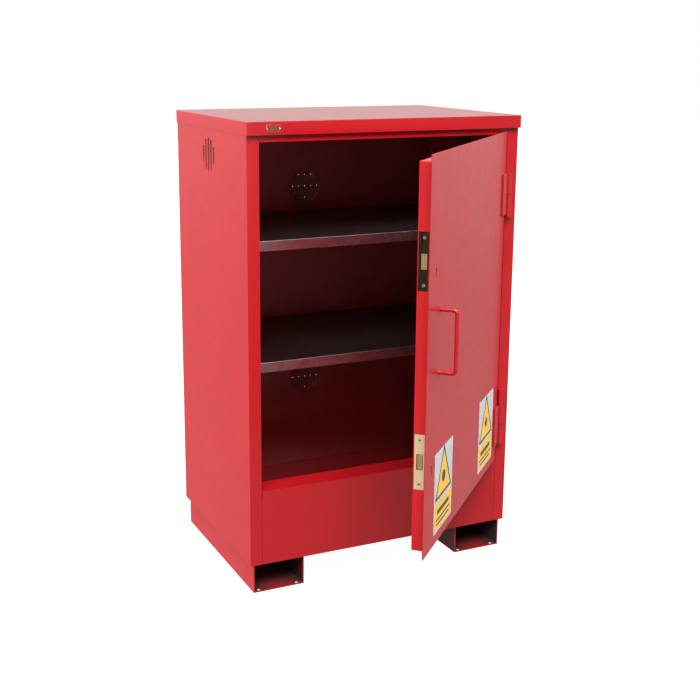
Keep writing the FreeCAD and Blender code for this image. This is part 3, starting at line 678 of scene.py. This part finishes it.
def recessed_head(bm, face, radius, crown, turn):
    """A countersunk screw head with a cross recess; the recess and a ring round its edge are near-black, painted
    shade.
    """
    spin = Matrix.Rotation(turn, 2)
    cross = [spin @ p for p in cross_outline(radius * 0.58, radius * 0.15)]
    floor = [spin @ p for p in cross_outline(radius * 0.34, radius * 0.10)]
    sunk, depth = 0.05 * MM, radius * 0.55
    tip = face.ring(circle(radius * 0.6), -radius * 0.5)
    edge = face.ring(circle(radius * 0.93), -sunk)
    top = face.ring(circle(radius * 0.84), crown)
    loft(bm, [tip, edge], 1, caps=(True, False))
    loft(bm, [edge, top], caps=(False, False))
    fill(bm, [top, face.ring(cross, crown)])
    loft(bm, [face.ring(cross, crown), face.ring(floor, crown - depth)], 1, caps=(False, True))
    join_doubles(bm)


def make_faceplate_screws():
    """A screw above and below the bolt of each lock."""
    low, high = door_box("faceplate_screws")
    middle_y = (low.y + high.y) / 2
    radius = (high.y - low.y) / 2
    from_middle, crown = 54 * MM, 0.35 * MM
    heights = []
    for name in ("upper_lock_faceplate", "lower_lock_faceplate"):
        plate_low, plate_high = door_box(name)
        middle = (plate_low.z + plate_high.z) / 2
        heights += [middle - from_middle, middle + from_middle]

    def screws(bm):
        for i, z in enumerate(heights):
            face = Face(Vector((low.x, middle_y, z)), -Y, Z)
            recessed_head(bm, face, radius, crown, turn=0.35 + 1.1 * i)

    add_piece("faceplate_screw_heads", "door", screws,
              [BRIGHT_STEEL, SHADE_BLACK_STEEL], space=DOOR, replaced=["faceplate_screws"])


# ---------------------------------------------------------------- labels

def make_label(name, mark):
    """A plain printed sign: a bordered triangle above a plain panel, with no words."""
    low, high = door_box(name)
    width, thick, height = high - low
    face = Face(Vector(((low.x + high.x) / 2, high.y, low.z)), X, Z)
    ink, margin, border = 0.08 * MM, 6 * MM, 7 * MM
    layers = [thick + ink * k for k in range(4)]
    white, yellow, dark = 0, 1, 2
    panel_height = height * 0.33
    base, rise = height * 0.40, width * 0.79
    slope = math.sqrt(3)
    bars = ((0.64, 0.66, 0.17), (0.36, 0.78, 0.07), (0.18, 0.70, 0.07))

    def triangle(inset, radius):
        """An upright triangle with equal sides, drawn in by inset."""
        reach = rise / slope - inset * slope
        foot = base + inset
        top = foot + reach * slope
        return rounded([Vector((-reach, foot)), Vector((reach, foot)), Vector((0, top))], radius)

    def layer(bm, outline, level, colour, lift=0.0):
        prism(bm, face, outline, layers[level], layers[level + 1], colour, lift)

    def sign(bm):
        sheet = rectangle(width, height, 5 * MM)
        loft(bm, [face.ring(sheet, out, height / 2) for out in (0, thick)], white)
        panel = rectangle(width - 2 * margin, panel_height, 4 * MM)
        layer(bm, panel, 0, yellow, margin + panel_height / 2)
        layer(bm, triangle(0, 4 * MM), 0, dark)
        layer(bm, triangle(border, 1.5 * MM), 1, yellow)
        layer(bm, mark, 2, dark, base + rise * 0.36)
        for row, length, tall in bars:
            bar = rectangle(width * length, panel_height * tall, 1.2 * MM)
            layer(bm, bar, 1, dark, margin + panel_height * row)

    add_piece(name.replace("_plate", "_sign"), "door", sign,
              [PRINT_WHITE, PRINT_YELLOW, PRINT_DARK], space=DOOR, replaced=[name])


def make_labels():
    """The sign by the door's free edge is marked with a disc, the other one with a diamond."""
    make_label("outer_label_plate", circle(15 * MM, 40))
    quarter = Matrix.Rotation(math.pi / 4, 2)
    make_label("inner_label_plate", [quarter @ p for p in rectangle(24 * MM, 24 * MM, 3 * MM)])


# ---------------------------------------------------------------- camera, floor and light

CAMERA_SPOT = Vector((-1.4452, -3.0046, 1.4577))
CAMERA_YAW, CAMERA_PITCH, CAMERA_ROLL = 0.437, 0.223, 0.005
CAMERA_LENS, SENSOR = 60.23, 36.0
CAMERA_SHIFT = (0.0294, -0.0601)


def make_camera():
    """Looks along +Y, turned right by the yaw and down by the pitch."""
    data = bpy.data.cameras.new("camera")
    data.lens, data.sensor_width = CAMERA_LENS, SENSOR
    data.shift_x, data.shift_y = CAMERA_SHIFT
    camera = bpy.data.objects.new("camera", data)
    aim = (Matrix.Rotation(-CAMERA_YAW, 4, "Z")
           @ Matrix.Rotation(math.pi / 2 - CAMERA_PITCH, 4, "X")
           @ Matrix.Rotation(CAMERA_ROLL, 4, "Z"))
    camera.matrix_world = Matrix.Translation(CAMERA_SPOT) @ aim
    bpy.context.scene.collection.objects.link(camera)
    bpy.context.scene.camera = camera


def make_floor():
    half = 14.0
    mesh = bpy.data.meshes.new("studio_floor")
    corners = [(-half, -half, 0), (half, -half, 0), (half, half, 0), (-half, half, 0)]
    mesh.from_pydata(corners, [], [(0, 1, 2, 3)])
    mesh.materials.append(pale_floor())
    floor = bpy.data.objects.new("studio_floor", mesh)
    bpy.context.scene.collection.objects.link(floor)
    floor.visible_diffuse = False
    floor.visible_glossy = False


def mapped(nodes, links, value, start, end, low, high):
    """Takes start..end of a value to low..high, each a number or another value."""
    node = nodes.new("ShaderNodeMapRange")
    node.inputs["From Min"].default_value = start
    node.inputs["From Max"].default_value = end
    for socket, wanted in (("To Min", low), ("To Max", high)):
        if isinstance(wanted, float):
            node.inputs[socket].default_value = wanted
        else:
            links.new(wanted, node.inputs[socket])
    links.new(value, node.inputs["Value"])
    return node.outputs["Result"]


FILL = 0.12
ROOM_FRONT_LOW, ROOM_FRONT_HIGH = 0.55, 0.05
ROOM_BACK_LOW, ROOM_BACK_HIGH = 0.46, 0.95


def make_world():
    """White to the eye, a dim even fill, and for reflections a pale room that is dark in front."""
    world = bpy.data.worlds.new("studio")
    world.use_nodes = True
    nodes, links = world.node_tree.nodes, world.node_tree.links
    fill = nodes["Background"]
    fill.inputs["Strength"].default_value = FILL
    seen = nodes.new("ShaderNodeBackground")
    room = nodes.new("ShaderNodeBackground")
    for background in (fill, seen, room):
        background.inputs["Color"].default_value = (1, 1, 1, 1)

    split = nodes.new("ShaderNodeSeparateXYZ")
    links.new(nodes.new("ShaderNodeTexCoord").outputs["Generated"], split.inputs["Vector"])
    toward, up = split.outputs["Y"], split.outputs["Z"]
    low = mapped(nodes, links, toward, -0.95, -0.3, ROOM_FRONT_LOW, ROOM_BACK_LOW)
    high = mapped(nodes, links, toward, -0.95, -0.3, ROOM_FRONT_HIGH, ROOM_BACK_HIGH)
    links.new(mapped(nodes, links, up, -0.20, 0.04, low, high), room.inputs["Strength"])

    path = nodes.new("ShaderNodeLightPath")
    with_room, with_seen = nodes.new("ShaderNodeMixShader"), nodes.new("ShaderNodeMixShader")
    links.new(path.outputs["Is Glossy Ray"], with_room.inputs["Fac"])
    links.new(fill.outputs["Background"], with_room.inputs[1])
    links.new(room.outputs["Background"], with_room.inputs[2])
    links.new(path.outputs["Is Camera Ray"], with_seen.inputs["Fac"])
    links.new(with_room.outputs["Shader"], with_seen.inputs[1])
    links.new(seen.outputs["Background"], with_seen.inputs[2])
    links.new(with_seen.outputs["Shader"], nodes["World Output"].inputs["Surface"])
    bpy.context.scene.world = world
    bpy.context.scene.view_settings.view_transform = "Standard"


LIGHT_AIM, LIGHT_DISTANCE = Vector((0, 0, 0.65)), 15.0


def soft_box(name, turn, rise, size, watts, mirrored=True):
    """A wide area light, turn degrees right of the cabinet's front and rise degrees up."""
    turn, rise = math.radians(turn), math.radians(rise)
    toward = Vector((math.sin(turn) * math.cos(rise), -math.cos(turn) * math.cos(rise),
                     math.sin(rise)))
    data = bpy.data.lights.new(name, "AREA")
    data.shape = "RECTANGLE"
    data.size, data.size_y = size
    data.energy = watts
    light = bpy.data.objects.new(name, data)
    light.location = LIGHT_AIM + toward * LIGHT_DISTANCE
    light.rotation_mode = "QUATERNION"
    light.rotation_quaternion = (-toward).to_track_quat("-Z", "Y")
    light.visible_glossy = mirrored
    light.visible_camera = False
    bpy.context.scene.collection.objects.link(light)


def make_lights():
    """Large boxes of light all round, and a low strip for the light that a floor throws back."""
    wide = (9.0, 6.4)
    soft_box("front_left_box", -25, 48, wide, 3050)
    soft_box("front_box", 0, 55, wide, 1450)
    soft_box("back_left_box", -115, 15, wide, 3400, mirrored=False)
    soft_box("right_box", 85, 20, wide, 1920, mirrored=False)
    soft_box("back_box", 178, 6, wide, 1520, mirrored=False)
    soft_box("floor_bounce", 0, -2, (12.0, 1.0), 200)


# ---------------------------------------------------------------- build

make_camera()
finish_cad_nodes()
make_gauzes()
make_nameplate()
make_frame_welds()
make_door_welds()
make_faceplate_screws()
make_labels()
make_floor()
make_world()
make_lights()
